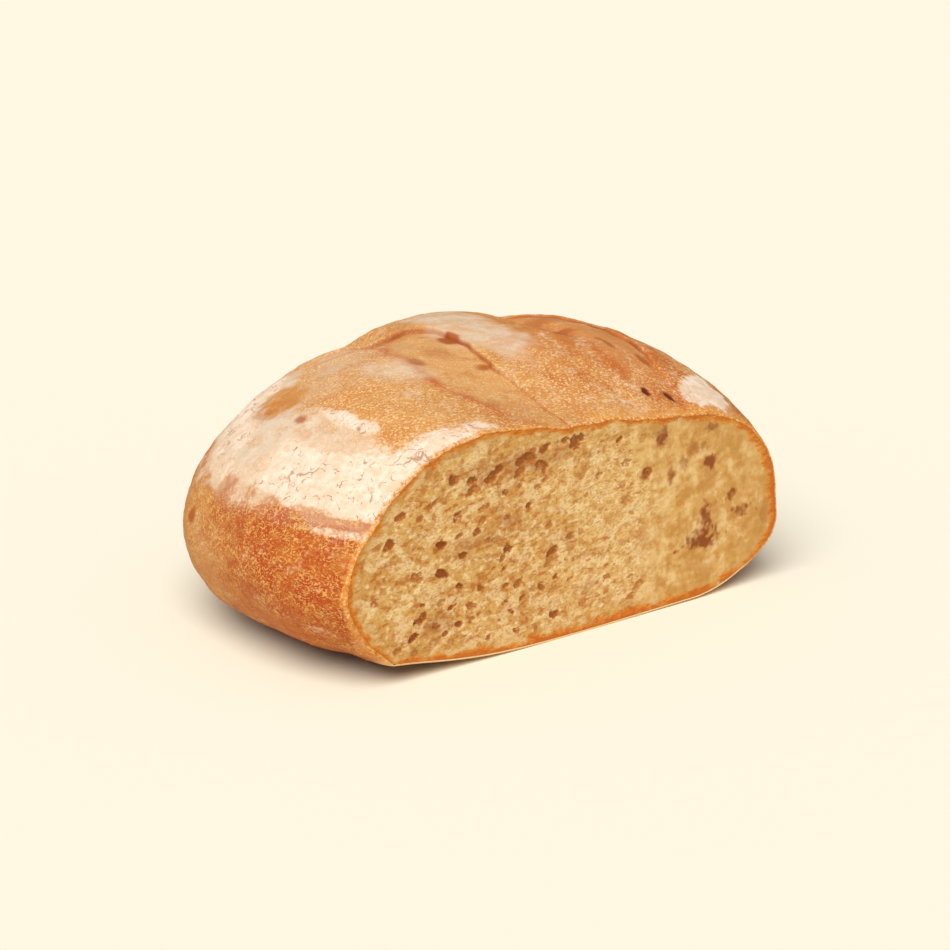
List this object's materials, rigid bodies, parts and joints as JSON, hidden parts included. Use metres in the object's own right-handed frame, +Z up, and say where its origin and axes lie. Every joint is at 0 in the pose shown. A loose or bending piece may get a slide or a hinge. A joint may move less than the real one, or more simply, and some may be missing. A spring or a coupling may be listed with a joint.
{
  "type": "rye spelt loaf, cut",
  "caption": "Round hearth loaf with a slashed, floured crust and one straight cut that shows its fine crumb, resting on its flat base.",
  "frame": {"origin": "middle of the bounding box's bottom, on the surface that the loaf rests on", "axes": "+Z up, the flat cut face looks towards -Y, +X to the right of someone who looks at the cut face"},
  "size_m": [0.2267, 0.1522, 0.0988],
  "materials": {
    "crust": "matt baked crust, partly dusted with pale flour",
    "crumb": "matt, fine open crumb"
  },
  "bodies": {
    "root": {"loaf": "crust"}
  },
  "joints": []
}
